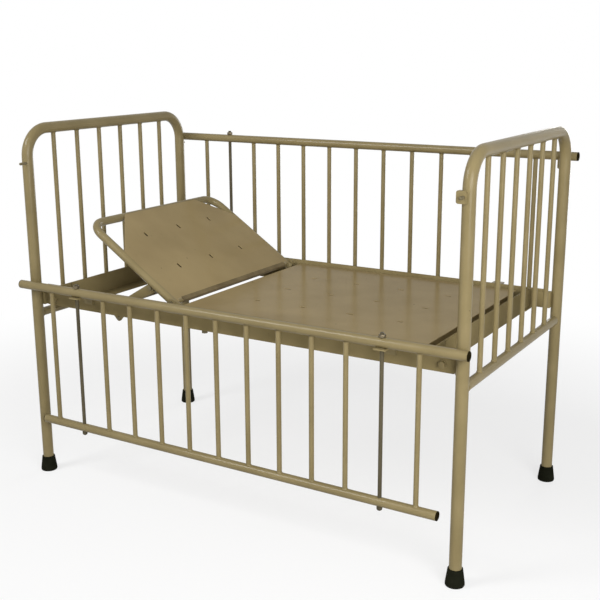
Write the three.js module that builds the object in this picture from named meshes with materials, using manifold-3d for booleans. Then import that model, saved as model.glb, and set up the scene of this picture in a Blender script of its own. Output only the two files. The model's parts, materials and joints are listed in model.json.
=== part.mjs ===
// Pediatric hospital cot: two tubular end frames on rubber feet, an angle-iron bed frame with a
// fixed deck sheet, a propped backrest, and two barred sides that slide down on guide rods.
// Millimetres, +Z up. The head end is at -X, the lowered side at -Y, the floor at z = 0.

import * as THREE from 'three';
import { mergeVertices } from 'three/addons/utils/BufferGeometryUtils.js';
import Module from 'manifold-3d';

const wasm = await Module();
wasm.setup();

// Gap between touching pieces, and the play of a pin in its hole
const SEAT_GAP = 0.3;
const PIN_PLAY = 0.4;

// End frames: one bent tube each, with a lower cross tube and upright bars
const POST_SPAN_X = 1364;
const POST_SPAN_Y = 714;
const END_TUBE_D = 32;
const END_TUBE_WALL = 1.6;
const END_TOP_AXIS_Z = 1054;
const END_BEND_R = 80;
const CROSS_TUBE_D = 25;
const CROSS_TUBE_WALL = 1.5;
const CROSS_TUBE_Z = 507;
const END_BAR_D = 12;
const END_BAR_COUNT = 6;
const END_BAR_PITCH = 99;

// Rubber ferrules on the four legs
const FOOT_BASE_D = 49;
const FOOT_RIM_D = 38.5;
const FOOT_H = 46;
const FOOT_BASE_H = 10;
const FOOT_EDGE_R = 2.5;
const FOOT_FLOOR = 8;

// Bed frame of angle iron, joined to the posts by joggled corner brackets
const ANGLE_T = 5;
const ANGLE_H = 63;
const ANGLE_FLANGE = 48;
const ANGLE_BOTTOM_Z = 534;
const ANGLE_CORNER_R = 8;
const SIDE_ANGLE_END_GAP = 7;
const END_ANGLE_INSET = 74;
const BRACKET_H = 48;
const BRACKET_LIFT = 4;
const BRACKET_REACH = 46;
const BRACKET_T = 5;
const PROP_LUG_X = -378;
const PROP_LUG_W = 34;
const PROP_LUG_DROP = 14;

// Fixed deck pan, foot part of the bed
const SHEET_T = 1.6;
const DECK_TOP_Z = 587;
const DECK_HEAD_X = -174;
const DECK_FOOT_GAP = 36;
const DECK_FOOT_OVERHANG = 25;
const DECK_SIDE_GAP = 6;
const DECK_BEND_R = 6;
const SLOT_L = 20;
const SLOT_W = 8;
const SLOT_PITCH_Y = 158;
const SLOT_COUNT_Y = 3;
const DECK_SLOT_COUNT_X = 4;
const DECK_SLOT_PITCH_X = 148;
const DECK_SLOT_FOOT_GAP = 147;

// Backrest on a hinge rod, drawn raised
const HINGE_X = -204;
const HINGE_Z = 589;
const HINGE_ROD_D = 7;
const BACK_REST_DEG = 33.8;
const BACK_TUBE_D = 19;
const BACK_TUBE_WALL = 1.5;
const BACK_SIDE_INSET = 37.7;
const BACK_REACH = 357;
const BACK_BEND_R = 50;
const BACK_TUBE_TAIL = 14;
const BACK_CHAMFER_NEAR = 140;
const BACK_CHAMFER_FAR = 108;
const BACK_ROLL_R = 6.8;
const BACK_ROLL_DEG = 300;
const BACK_ROLL_END_GAP = 19;
const BACK_ROLL_LAP = 4;
const BACK_EAR = 5;
const BACK_EAR_SLIT = 3;
const BACK_SLOT_COUNT = 2;
const BACK_SLOT_FIRST = 114;
const BACK_SLOT_PITCH = 147;
const HINGE_LUG_T = 6;
const HINGE_LUG_W = 24;
const HINGE_LUG_BASE = 24;
const HINGE_LUG_GAP = 3;
const HINGE_HEAD_D = 15;
const HINGE_HEAD_T = 4;

// Prop under the backrest, and the toothed plates its foot rod drops into
const PROP_PIVOT_S = 88;
const PROP_PIVOT_DROP = 21.6;
const PROP_LENGTH = 134;
const PROP_DROP_DEG = 28.6;
const PROP_BAR_W = 31;
const PROP_TOE_W = 20;
const PROP_BAR_T = 5;
const PROP_EYE_T = 5;
const PROP_EYE_R = 9;
const PROP_BOLT_D = 8;
const PROP_BOLT_HEAD_D = 13;
const PROP_BOLT_HEAD_T = 5;
const PROP_ROD_D = 9;
const PROP_TUBE_GAP = 1;
const PROP_NUT_T = 5;
const RATCHET_T = 5;
const RATCHET_HEAD_X = -440;
const RATCHET_PITCH = 22;
const RATCHET_TEETH = 5;
const RATCHET_H = 10;
const RATCHET_BASE_T = 3;
const RATCHET_ANGLE_GAP = 10;
const RATCHET_NOTCH = 6;
const RATCHET_STRUT_GAP = 5;

// Sliding barred sides
const RAIL_D = 25;
const RAIL_WALL = 1.5;
const RAIL_L = 1420;
const RAIL_POST_GAP = 4;
const LOWER_RAIL_D = 22;
const LOWER_RAIL_L = 1290;
const SIDE_H = 412;
const SIDE_BAR_D = 12;
const SIDE_BAR_PITCH = 97.8;
const SIDE_PLACES = 13;
const ROD_PLACE_FROM_END = 1;
const RAIL_LOW_Z = 600;
const SIDE_TRAVEL = 378;
const ROD_D = 9.5;
const ROD_HEAD_D = 15;
const ROD_HEAD_H = 8;
const ROD_THREAD = 13;
const NUT_AF = 16;
const NUT_H = 8;
const PLUG_CAP_T = 2;
const PLUG_SPIGOT_L = 14;
const PLUG_EDGE = 1;

// Guide tabs on the bed frame, which the rods slide through and a lowered rail rests on
const TAB_W = 32;
const TAB_T = 4;
const TAB_LEG_H = 30;
const TAB_MARGIN = 16;
const ROD_GUIDE_PLAY = 1.2;

// Catches for a raised side: a pin through each post that slides out under the rail, with a
// plate round the foot posts
const CATCH_W = 25.5;
const CATCH_H = 30;
const CATCH_INBOARD = 24;
const CATCH_T = 3;
const CATCH_CORNER_R = 5;
const CATCH_PIN_D = 8;
const CATCH_PIN_INBOARD = 7;
const CATCH_PIN_SHOW = 2;
const CATCH_PIN_TAIL = 8;
const CATCH_PIN_TRAVEL = 20;
const CATCH_PIN_DOME = 2;
const CATCH_RAIL_GAP = 3;

// Facets round each kind of piece
const TUBE_SIDES = 16;
const BAR_SIDES = 10;
const BEND_STEPS = 5;
const FOOT_SIDES = 20;
const ARC_STEPS = 2;

const postX = POST_SPAN_X / 2;
const postY = POST_SPAN_Y / 2;
const endTubeR = END_TUBE_D / 2;
const crossTubeR = CROSS_TUBE_D / 2;
const sidePlaneY = postY + endTubeR + RAIL_POST_GAP + RAIL_D / 2;
const angleOuterY = postY - endTubeR - SEAT_GAP;
const angleInnerY = angleOuterY - ANGLE_T;
const angleTopZ = ANGLE_BOTTOM_Z + ANGLE_H;
const flangeTopZ = ANGLE_BOTTOM_Z + ANGLE_T;
const sideAngleEndX = postX - endTubeR - SIDE_ANGLE_END_GAP;
const endAngleX = postX - END_ANGLE_INSET;
const deckFootX = endAngleX - DECK_FOOT_GAP;
const backTubeY = angleInnerY - BACK_SIDE_INSET;
const backTubeR = BACK_TUBE_D / 2;
const backTubeZ = BACK_ROLL_R - SHEET_T - SEAT_GAP - backTubeR;
const tabTopZ = RAIL_LOW_Z - RAIL_D / 2 - SEAT_GAP;
const rodX = ((SIDE_PLACES - 1) / 2 - ROD_PLACE_FROM_END) * SIDE_BAR_PITCH;
const catchZ = RAIL_LOW_Z + SIDE_TRAVEL - RAIL_D / 2 - CATCH_RAIL_GAP - CATCH_PIN_D / 2;

const AXIS_X = new THREE.Vector3(1, 0, 0);
const AXIS_Y = new THREE.Vector3(0, 1, 0);
const AXIS_Z = new THREE.Vector3(0, 0, 1);
// A drawn outline lies in XY and grows along Z: these turn it to grow
// along +X, or upright to grow along -Y
const ALONG_X = new THREE.Matrix4().makeBasis(AXIS_Y, AXIS_Z, AXIS_X);
const ALONG_Y = new THREE.Matrix4().makeBasis(AXIS_X, AXIS_Z, AXIS_Y.clone().negate());
const ALONG_Z = new THREE.Matrix4();

const ENAMEL = { color: 0x968a6a, roughness: 0.38, metalness: 0.1 };
const STEEL = { color: 0x5a5541, roughness: 0.4, metalness: 0.8 };
const PLATED = { color: 0x87837a, roughness: 0.4, metalness: 0.9 };
const RUBBER = { color: 0x1c1c14, roughness: 0.8, metalness: 0 };
const PLUG_BLACK = { color: 0x15140f, roughness: 0.6, metalness: 0 };

const cot = new THREE.Group();

/** Adds one named piece to a group. */
function addPiece(parent, name, geometry, finish) {
  const piece = new THREE.Mesh(geometry, new THREE.MeshStandardMaterial(finish));
  piece.name = name;
  parent.add(piece);
  return piece;
}

/** A closed geometry as a solid that can be joined and cut. */
function solidOf(geometry) {
  const bare = geometry.clone();
  bare.deleteAttribute('normal');
  bare.deleteAttribute('uv');
  const merged = mergeVertices(bare, 1e-4);
  const vertProperties = new Float32Array(merged.attributes.position.array);
  const triVerts = new Uint32Array(merged.index.array);
  return new wasm.Manifold(new wasm.Mesh({ numProp: 3, vertProperties, triVerts }));
}

/** A joined or cut solid as a geometry. */
function geometryOf(solid) {
  const mesh = solid.getMesh();
  const geometry = new THREE.BufferGeometry();
  geometry.setAttribute('position', new THREE.BufferAttribute(mesh.vertProperties, 3));
  geometry.setIndex(new THREE.BufferAttribute(mesh.triVerts, 1));
  geometry.computeVertexNormals();
  return geometry;
}

/** Joins the added geometries into one and cuts the others away. */
function carve(added, removed = []) {
  let solid = solidOf(added[0]);
  for (const geometry of added.slice(1)) solid = solid.add(solidOf(geometry));
  for (const geometry of removed) solid = solid.subtract(solidOf(geometry));
  return geometryOf(solid);
}

/** An outline grown to a depth along one axis, starting at the given place. */
function prism(shape, depth, turn, place = [0, 0, 0], steps = ARC_STEPS) {
  const geometry = new THREE.ExtrudeGeometry(shape, { depth, bevelEnabled: false, curveSegments: steps });
  return geometry.applyMatrix4(turn).translate(...place);
}

/** A box between two corners. */
function block(low, high) {
  const size = high.map((value, i) => value - low[i]);
  const middle = high.map((value, i) => (value + low[i]) / 2);
  return new THREE.BoxGeometry(...size).translate(...middle);
}

/** A round bar along an axis, centred at a place. */
function roundBar(diameter, length, turn, place, sides = BAR_SIDES) {
  const bar = new THREE.CylinderGeometry(diameter / 2, diameter / 2, length, sides);
  return bar.rotateX(Math.PI / 2).applyMatrix4(turn).translate(...place);
}

/** A ring outline, or a disc where the wall is zero. */
function ringShape(diameter, wall) {
  const shape = new THREE.Shape();
  shape.absarc(0, 0, diameter / 2, 0, 2 * Math.PI, false);
  const bore = new THREE.Path();
  bore.absarc(0, 0, diameter / 2 - wall, 0, 2 * Math.PI, true);
  shape.holes.push(bore);
  return shape;
}

/** A straight open tube along an axis, centred at a place. */
function straightTube(diameter, wall, length, turn, place) {
  const tube = prism(ringShape(diameter, wall), length, ALONG_Z, [0, 0, -length / 2], TUBE_SIDES / 2);
  return tube.applyMatrix4(turn).translate(...place);
}

/** A rectangle with round corners. */
function roundedRectangle(x0, y0, x1, y1, radius) {
  const shape = new THREE.Shape();
  shape.absarc(x1 - radius, y0 + radius, radius, -Math.PI / 2, 0, false);
  shape.absarc(x1 - radius, y1 - radius, radius, 0, Math.PI / 2, false);
  shape.absarc(x0 + radius, y1 - radius, radius, Math.PI / 2, Math.PI, false);
  shape.absarc(x0 + radius, y0 + radius, radius, Math.PI, 1.5 * Math.PI, false);
  return shape;
}

/** A polygon outline. */
function polygon(points) {
  return new THREE.Shape(points.map(([x, y]) => new THREE.Vector2(x, y)));
}

/** Straight runs between corners joined by round bends, with rings only where the tube turns. */
class BentPath extends THREE.Curve {
  constructor(corners, radius) {
    super();
    this.stations = [];
    const points = corners.map((corner) => new THREE.Vector3(...corner));
    const last = points.length - 1;
    const runs = points.slice(1).map((point, i) => point.clone().sub(points[i]).normalize());
    this.stations.push({ point: points[0], tangent: runs[0] });
    for (let i = 1; i < last; i += 1) {
      const middle = points[i].clone().addScaledVector(runs[i - 1], -radius).addScaledVector(runs[i], radius);
      for (let step = 0; step <= BEND_STEPS; step += 1) {
        const angle = (step / BEND_STEPS) * (Math.PI / 2);
        const point = middle.clone();
        point.addScaledVector(runs[i], -radius * Math.cos(angle));
        point.addScaledVector(runs[i - 1], radius * Math.sin(angle));
        const tangent = runs[i - 1].clone().multiplyScalar(Math.cos(angle));
        tangent.addScaledVector(runs[i], Math.sin(angle));
        this.stations.push({ point, tangent });
      }
    }
    this.stations.push({ point: points[last], tangent: runs[last - 1] });
    this.steps = this.stations.length - 1;
  }

  getTangentAt(u, target = new THREE.Vector3()) {
    return target.copy(this.stations[Math.round(u * this.steps)].tangent);
  }

  getSpacedPoints() {
    return this.stations.map((station) => station.point.clone());
  }
}

/** An open tube bent square along its corners. */
function bentTube(diameter, wall, corners, radius) {
  const extrudePath = new BentPath(corners, radius);
  const options = { extrudePath, steps: extrudePath.steps, curveSegments: TUBE_SIDES / 2 };
  return new THREE.ExtrudeGeometry(ringShape(diameter, wall), options);
}

/** A turned piece round an axis, from radius and height pairs. */
function turned(profile, sides, turn, place) {
  const points = profile.map(([radius, height]) => new THREE.Vector2(radius, height));
  const piece = new THREE.LatheGeometry(points, sides);
  return piece.rotateX(Math.PI / 2).applyMatrix4(turn).translate(...place);
}

/** Evenly spaced places, centred on zero. */
function spread(count, pitch) {
  return Array.from({ length: count }, (_, i) => (i - (count - 1) / 2) * pitch);
}

// End frames: the bent tube stands on two legs, the cross tube carries the bars
function addEndFrame(name, x) {
  const legBottom = FOOT_FLOOR + SEAT_GAP;
  const corners = [
    [x, -postY, legBottom],
    [x, -postY, END_TOP_AXIS_Z],
    [x, postY, END_TOP_AXIS_Z],
    [x, postY, legBottom],
  ];
  const tube = bentTube(END_TUBE_D, END_TUBE_WALL, corners, END_BEND_R);
  const holeD = CATCH_PIN_D + 2 * PIN_PLAY;
  const pinX = x - Math.sign(x) * CATCH_PIN_INBOARD;
  const pinHoles = [-1, 1].map((side) => roundBar(holeD, END_TUBE_D, ALONG_Y,
    [pinX, side * (postY + endTubeR), catchZ]));
  addPiece(cot, `${name}_end_tube`, carve([tube], pinHoles), ENAMEL);

  const cope = END_TUBE_D + 2 * SEAT_GAP;
  const cross = straightTube(CROSS_TUBE_D, CROSS_TUBE_WALL, POST_SPAN_Y, ALONG_Y, [x, 0, CROSS_TUBE_Z]);
  const barFoot = CROSS_TUBE_Z + crossTubeR / 2;
  const barL = END_TOP_AXIS_Z - barFoot;
  const bars = spread(END_BAR_COUNT, END_BAR_PITCH).map((y) => roundBar(END_BAR_D, barL, ALONG_Z,
    [x, y, barFoot + barL / 2]));
  const posts = [-1, 1].map((side) => roundBar(cope, END_TOP_AXIS_Z, ALONG_Z,
    [x, side * postY, CROSS_TUBE_Z], TUBE_SIDES));
  const top = roundBar(cope, POST_SPAN_Y, ALONG_Y, [x, 0, END_TOP_AXIS_Z], TUBE_SIDES);
  addPiece(cot, `${name}_end_grille`, carve([cross, ...bars], [...posts, top]), ENAMEL);
}

addEndFrame('head', -postX);
addEndFrame('foot', postX);

// Rubber feet: a cup that tapers from its wide base to the mouth round the tube
function addFoot(name, x, y) {
  const boreR = endTubeR + SEAT_GAP;
  const baseR = FOOT_BASE_D / 2;
  const rimR = FOOT_RIM_D / 2;
  const profile = [
    [0, 0],
    [baseR - FOOT_EDGE_R, 0],
    [baseR, FOOT_EDGE_R],
    [baseR, FOOT_BASE_H],
    [rimR, FOOT_H - FOOT_EDGE_R / 2],
    [rimR - FOOT_EDGE_R / 2, FOOT_H],
    [boreR, FOOT_H],
    [boreR, FOOT_FLOOR],
    [0, FOOT_FLOOR],
  ];
  addPiece(cot, name, turned(profile, FOOT_SIDES, ALONG_Z, [x, y, 0]), RUBBER);
}

for (const [end, x] of [['head', -postX], ['foot', postX]]) {
  addFoot(`${end}_near_foot`, x, -postY);
  addFoot(`${end}_far_foot`, x, postY);
}

// Bed frame: side angles with the upright leg outside and the flat leg inside, at the bottom.
// A small pointed lug hangs under each by the prop's foot.
function uprightPlate(shape, yLow, yHigh) {
  return prism(shape, yHigh - yLow, ALONG_Y, [0, yHigh, 0]);
}

function mirroredSpan(side, inner, outer) {
  return side > 0 ? [inner, outer] : [-outer, -inner];
}

function addSideAngle(name, side) {
  const flangeInnerY = angleOuterY - ANGLE_FLANGE;
  const web = roundedRectangle(-sideAngleEndX, ANGLE_BOTTOM_Z, sideAngleEndX, angleTopZ, ANGLE_CORNER_R);
  const lug = polygon([
    [PROP_LUG_X - PROP_LUG_W / 2, ANGLE_BOTTOM_Z + ANGLE_T],
    [PROP_LUG_X - PROP_LUG_W / 2, ANGLE_BOTTOM_Z],
    [PROP_LUG_X, ANGLE_BOTTOM_Z - PROP_LUG_DROP],
    [PROP_LUG_X + PROP_LUG_W / 2, ANGLE_BOTTOM_Z],
    [PROP_LUG_X + PROP_LUG_W / 2, ANGLE_BOTTOM_Z + ANGLE_T],
  ]);
  const webSpan = mirroredSpan(side, angleInnerY, angleOuterY);
  const flangeSpan = mirroredSpan(side, flangeInnerY, angleOuterY);
  const flangeEndX = sideAngleEndX - ANGLE_CORNER_R;
  const flange = block([-flangeEndX, flangeSpan[0], ANGLE_BOTTOM_Z], [flangeEndX, flangeSpan[1], flangeTopZ]);
  const pieces = [uprightPlate(web, ...webSpan), flange, uprightPlate(lug, ...webSpan)];
  addPiece(cot, name, carve(pieces), ENAMEL);
}

addSideAngle('near_side_angle', -1);
addSideAngle('far_side_angle', 1);

// The end angles butt against the side angles and stand on their flat legs
function addEndAngle(name, end) {
  const reachY = angleInnerY - SEAT_GAP;
  const innerY = angleOuterY - ANGLE_FLANGE - SEAT_GAP;
  const [x0, x1] = mirroredSpan(end, endAngleX - ANGLE_T, endAngleX);
  const [f0, f1] = mirroredSpan(end, endAngleX - ANGLE_FLANGE, endAngleX);
  const web = block([x0, -reachY, flangeTopZ + SEAT_GAP], [x1, reachY, angleTopZ]);
  const webFoot = block([x0, -innerY, ANGLE_BOTTOM_Z], [x1, innerY, angleTopZ]);
  const flange = block([f0, -innerY, ANGLE_BOTTOM_Z], [f1, innerY, flangeTopZ]);
  addPiece(cot, name, carve([web, webFoot, flange]), ENAMEL);
}

addEndAngle('head_end_angle', -1);
addEndAngle('foot_end_angle', 1);

// Corner brackets: a joggled plate inside each side angle whose pad is welded round the post
function addCornerBracket(name, end, side) {
  const z0 = flangeTopZ + SEAT_GAP + BRACKET_LIFT;
  const plateOuterY = angleInnerY - SEAT_GAP;
  const plateX = mirroredSpan(end, sideAngleEndX - BRACKET_REACH, postX);
  const padX = mirroredSpan(end, sideAngleEndX + SEAT_GAP, postX);
  const plateY = mirroredSpan(side, plateOuterY - BRACKET_T, plateOuterY);
  const padY = mirroredSpan(side, plateOuterY - BRACKET_T, postY - endTubeR / 2);
  const plate = block([plateX[0], plateY[0], z0], [plateX[1], plateY[1], z0 + BRACKET_H]);
  const pad = block([padX[0], padY[0], z0], [padX[1], padY[1], z0 + BRACKET_H]);
  const post = roundBar(END_TUBE_D + 2 * SEAT_GAP, 2 * BRACKET_H, ALONG_Z,
    [end * postX, side * postY, z0 + BRACKET_H / 2], TUBE_SIDES);
  addPiece(cot, name, carve([plate, pad], [post]), ENAMEL);
}

const CORNERS = [
  ['head_near', -1, -1],
  ['head_far', -1, 1],
  ['foot_near', 1, -1],
  ['foot_far', 1, 1],
];
for (const [corner, end, side] of CORNERS) addCornerBracket(`${corner}_bracket`, end, side);

// Deck: a folded steel pan standing on the flat legs of the side angles, with rows of slots;
// its foot edge reaches past the last lip as a flat overhang
function archShape(low, high, bottom, top, radius) {
  const shape = new THREE.Shape();
  shape.moveTo(low, bottom);
  shape.lineTo(high, bottom);
  shape.absarc(high - radius, top - radius, radius, 0, Math.PI / 2, false);
  shape.absarc(low + radius, top - radius, radius, Math.PI / 2, Math.PI, false);
  return shape;
}

function slotShape() {
  const shape = new THREE.Shape();
  const half = (SLOT_L - SLOT_W) / 2;
  shape.absarc(half, 0, SLOT_W / 2, -Math.PI / 2, Math.PI / 2, false);
  shape.absarc(-half, 0, SLOT_W / 2, Math.PI / 2, 1.5 * Math.PI, false);
  return shape;
}

function slotCutter(x, y, z) {
  return prism(slotShape(), 4 * SHEET_T, ALONG_Z, [x, y, z - 2 * SHEET_T]);
}

function panSolid(inset, x1, bottom) {
  const x0 = DECK_HEAD_X + inset;
  const halfY = angleInnerY - DECK_SIDE_GAP - inset;
  const top = DECK_TOP_Z - inset;
  const radius = DECK_BEND_R - inset;
  const lengthwise = prism(archShape(x0, x1, bottom, top, radius), 2 * halfY, ALONG_Y, [0, halfY, 0]);
  const crosswise = prism(archShape(-halfY, halfY, bottom, top, radius), x1 - x0, ALONG_X, [x0, 0, 0]);
  return solidOf(lengthwise).intersect(solidOf(crosswise));
}

const panBottom = flangeTopZ + SEAT_GAP;
const panLipX = deckFootX - DECK_FOOT_OVERHANG;
const pan = panSolid(0, deckFootX + DECK_BEND_R, panBottom).trimByPlane([-1, 0, 0], -deckFootX);
const panHollow = panSolid(SHEET_T, panLipX - SHEET_T, panBottom - SHEET_T);
const underOverhang = block([panLipX, -angleInnerY, ANGLE_BOTTOM_Z],
  [deckFootX + DECK_BEND_R, angleInnerY, DECK_TOP_Z - SHEET_T]);
let deck = pan.subtract(panHollow).subtract(solidOf(underOverhang));
for (let row = 0; row < DECK_SLOT_COUNT_X; row += 1) {
  const x = deckFootX - DECK_SLOT_FOOT_GAP - row * DECK_SLOT_PITCH_X;
  for (const y of spread(SLOT_COUNT_Y, SLOT_PITCH_Y)) {
    deck = deck.subtract(solidOf(slotCutter(x, y, DECK_TOP_Z)));
  }
}
addPiece(cot, 'deck_sheet', geometryOf(deck), ENAMEL);

// Hinge lugs for the backrest: an upright ear on a foot that stands on the side angle's flat leg
const hingeEarY = backTubeY + backTubeR + HINGE_LUG_GAP;
const hingeHoleD = HINGE_ROD_D + 2 * PIN_PLAY;

function addHingeLug(name, side) {
  const foot = flangeTopZ + SEAT_GAP;
  const half = HINGE_LUG_W / 2;
  const ear = archShape(HINGE_X - half, HINGE_X + half, foot, HINGE_Z + half, half);
  const earSpan = mirroredSpan(side, hingeEarY, hingeEarY + HINGE_LUG_T);
  const footSpan = mirroredSpan(side, hingeEarY, hingeEarY + HINGE_LUG_BASE);
  const base = block([HINGE_X - half, footSpan[0], foot], [HINGE_X + half, footSpan[1], foot + HINGE_LUG_T]);
  const hole = roundBar(hingeHoleD, 4 * HINGE_LUG_T, ALONG_Y,
    [HINGE_X, side * hingeEarY, HINGE_Z], TUBE_SIDES);
  addPiece(cot, name, carve([uprightPlate(ear, ...earSpan), base], [hole]), ENAMEL);
}

addHingeLug('near_hinge_lug', -1);
addHingeLug('far_hinge_lug', 1);

// Backrest, drawn flat round its hinge axis and then raised: x = 0 is the hinge, -x the head end
const backRest = THREE.MathUtils.degToRad(BACK_REST_DEG);
const backrest = new THREE.Group();
backrest.position.set(HINGE_X, 0, HINGE_Z);
backrest.rotation.y = backRest;
cot.add(backrest);

const backCorners = [
  [BACK_TUBE_TAIL, -backTubeY, backTubeZ],
  [-BACK_REACH, -backTubeY, backTubeZ],
  [-BACK_REACH, backTubeY, backTubeZ],
  [BACK_TUBE_TAIL, backTubeY, backTubeZ],
];
const backTube = bentTube(BACK_TUBE_D, BACK_TUBE_WALL, backCorners, BACK_BEND_R);
const propHoleD = PROP_BOLT_D + 2 * PIN_PLAY;
const propEyes = [];
const tubeHoles = [];
const eyeTop = backTubeR - BACK_TUBE_WALL - backTubeZ;
for (const side of [-1, 1]) {
  const y = side * backTubeY;
  const eye = archShape(-PROP_EYE_R, PROP_EYE_R, eyeTop, PROP_PIVOT_DROP + PROP_EYE_R, PROP_EYE_R);
  const eyePlate = uprightPlate(eye, -PROP_EYE_T / 2, PROP_EYE_T / 2);
  propEyes.push(eyePlate.rotateX(Math.PI).translate(-PROP_PIVOT_S, y, 0));
  tubeHoles.push(roundBar(propHoleD, 4 * PROP_EYE_T, ALONG_Y, [-PROP_PIVOT_S, y, -PROP_PIVOT_DROP]));
  tubeHoles.push(roundBar(hingeHoleD, 2 * BACK_TUBE_D, ALONG_Y, [0, y, 0]));
}
addPiece(backrest, 'backrest_tube', carve([backTube, ...propEyes], tubeHoles), ENAMEL);

// Its sheet lies on the tube, with cut corners and a lower edge rolled round the hinge rod
// between two short ears over the tube's ends
const rollInnerR = BACK_ROLL_R - SHEET_T;
const rollHalfY = backTubeY - backTubeR - BACK_ROLL_END_GAP;
const rollEnd = Math.PI / 2 - THREE.MathUtils.degToRad(BACK_ROLL_DEG);
const earHalfY = rollHalfY + BACK_EAR_SLIT;
const sheetOutline = polygon([
  [BACK_EAR, -backTubeY],
  [BACK_EAR, -earHalfY],
  [-BACK_ROLL_LAP / 2, -earHalfY],
  [-BACK_ROLL_LAP / 2, earHalfY],
  [BACK_EAR, earHalfY],
  [BACK_EAR, backTubeY],
  [-BACK_REACH + BACK_CHAMFER_FAR, backTubeY],
  [-BACK_REACH, backTubeY - BACK_CHAMFER_FAR],
  [-BACK_REACH, -backTubeY + BACK_CHAMFER_NEAR],
  [-BACK_REACH + BACK_CHAMFER_NEAR, -backTubeY],
]);
const roll = new THREE.Shape();
roll.moveTo(-BACK_ROLL_LAP, rollInnerR);
roll.lineTo(-BACK_ROLL_LAP, BACK_ROLL_R);
roll.absarc(0, 0, BACK_ROLL_R, Math.PI / 2, rollEnd, true);
roll.absarc(0, 0, rollInnerR, rollEnd, Math.PI / 2, false);
const rolledEdge = prism(roll, 2 * rollHalfY, ALONG_Y, [0, rollHalfY, 0], TUBE_SIDES / 2);
const backSlots = [];
for (let row = 0; row < BACK_SLOT_COUNT; row += 1) {
  const x = -BACK_SLOT_FIRST - row * BACK_SLOT_PITCH;
  for (const y of spread(SLOT_COUNT_Y, SLOT_PITCH_Y)) backSlots.push(slotCutter(x, y, BACK_ROLL_R));
}
const backPlate = prism(sheetOutline, SHEET_T, ALONG_Z, [0, 0, rollInnerR]);
addPiece(backrest, 'backrest_sheet', carve([backPlate, rolledEdge], backSlots), ENAMEL);

// Hinge rod with a riveted head outside each lug
const rodEndY = hingeEarY + HINGE_LUG_T + PIN_PLAY;
const rodHeads = [-1, 1].map((side) => roundBar(HINGE_HEAD_D, HINGE_HEAD_T, ALONG_Y,
  [0, side * (rodEndY + HINGE_HEAD_T / 2), 0], TUBE_SIDES));
const hingeBar = roundBar(HINGE_ROD_D, 2 * rodEndY + HINGE_HEAD_T, ALONG_Y, [0, 0, 0], TUBE_SIDES);
addPiece(backrest, 'hinge_rod', carve([hingeBar, ...rodHeads]), STEEL);

// Prop: two struts hung from the eyes under the backrest tube, with a foot rod across their ends
function strutShape() {
  const eyeR = PROP_BAR_W / 2;
  const toeR = PROP_TOE_W / 2;
  const taper = Math.asin((eyeR - toeR) / PROP_LENGTH);
  const shape = new THREE.Shape();
  shape.absarc(0, 0, eyeR, -Math.PI / 2 - taper, Math.PI / 2 + taper, false);
  shape.absarc(-PROP_LENGTH, 0, toeR, Math.PI / 2 + taper, 1.5 * Math.PI - taper, false);
  return shape;
}

const prop = new THREE.Group();
prop.position.set(-PROP_PIVOT_S, 0, -PROP_PIVOT_DROP);
prop.rotation.y = -backRest - THREE.MathUtils.degToRad(PROP_DROP_DEG);
backrest.add(prop);

const strutOuterY = backTubeY - backTubeR - PROP_TUBE_GAP;
const strutInnerY = strutOuterY - PROP_BAR_T;
const struts = [];
const strutHoles = [];
for (const side of [-1, 1]) {
  struts.push(uprightPlate(strutShape(), ...mirroredSpan(side, strutInnerY, strutOuterY)));
  strutHoles.push(roundBar(propHoleD, 4 * PROP_BAR_T, ALONG_Y, [0, side * strutOuterY, 0]));
}
const footRod = roundBar(PROP_ROD_D, 2 * strutOuterY - PROP_BAR_T, ALONG_Y, [-PROP_LENGTH, 0, 0]);
addPiece(prop, 'prop_frame', carve([...struts, footRod], strutHoles), ENAMEL);

function addPropBolt(name, side) {
  const headY = backTubeY + PROP_EYE_T / 2 + SEAT_GAP;
  const nutY = strutInnerY - SEAT_GAP;
  const shank = roundBar(PROP_BOLT_D, headY - nutY + PROP_BOLT_HEAD_T, ALONG_Y,
    [0, side * (headY + nutY) / 2, 0]);
  const head = roundBar(PROP_BOLT_HEAD_D, PROP_BOLT_HEAD_T, ALONG_Y,
    [0, side * (headY + PROP_BOLT_HEAD_T / 2), 0], 6);
  const nut = roundBar(PROP_BOLT_HEAD_D, PROP_NUT_T, ALONG_Y, [0, side * (nutY - PROP_NUT_T / 2), 0], 6);
  addPiece(prop, name, carve([shank, head, nut]), PLATED);
}

addPropBolt('near_prop_bolt', -1);
addPropBolt('far_prop_bolt', 1);

// Ratchets: toothed plates on the flat legs, inside the struts, that the foot rod drops into
function addRatchet(name, side) {
  const foot = flangeTopZ + SEAT_GAP;
  const tip = foot + RATCHET_H;
  const footX = RATCHET_HEAD_X + RATCHET_TEETH * RATCHET_PITCH;
  const points = [[RATCHET_HEAD_X, foot], [footX, foot], [footX, tip]];
  for (let tooth = RATCHET_TEETH - 1; tooth >= 0; tooth -= 1) {
    const x = RATCHET_HEAD_X + tooth * RATCHET_PITCH;
    points.push([x + RATCHET_PITCH / 2, tip], [x + RATCHET_PITCH / 4, tip - RATCHET_NOTCH], [x, tip]);
  }
  const outerY = strutInnerY - RATCHET_STRUT_GAP;
  const plateSpan = mirroredSpan(side, outerY - RATCHET_T, outerY);
  const baseSpan = mirroredSpan(side, outerY - RATCHET_T, angleInnerY - RATCHET_ANGLE_GAP);
  const base = block([RATCHET_HEAD_X, baseSpan[0], foot], [footX, baseSpan[1], foot + RATCHET_BASE_T]);
  addPiece(cot, name, carve([uprightPlate(polygon(points), ...plateSpan), base]), ENAMEL);
}

addRatchet('near_ratchet', -1);
addRatchet('far_ratchet', 1);

// Sliding sides, drawn round the top rail's axis
const railR = RAIL_D / 2;
const lowerRailR = LOWER_RAIL_D / 2;

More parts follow.
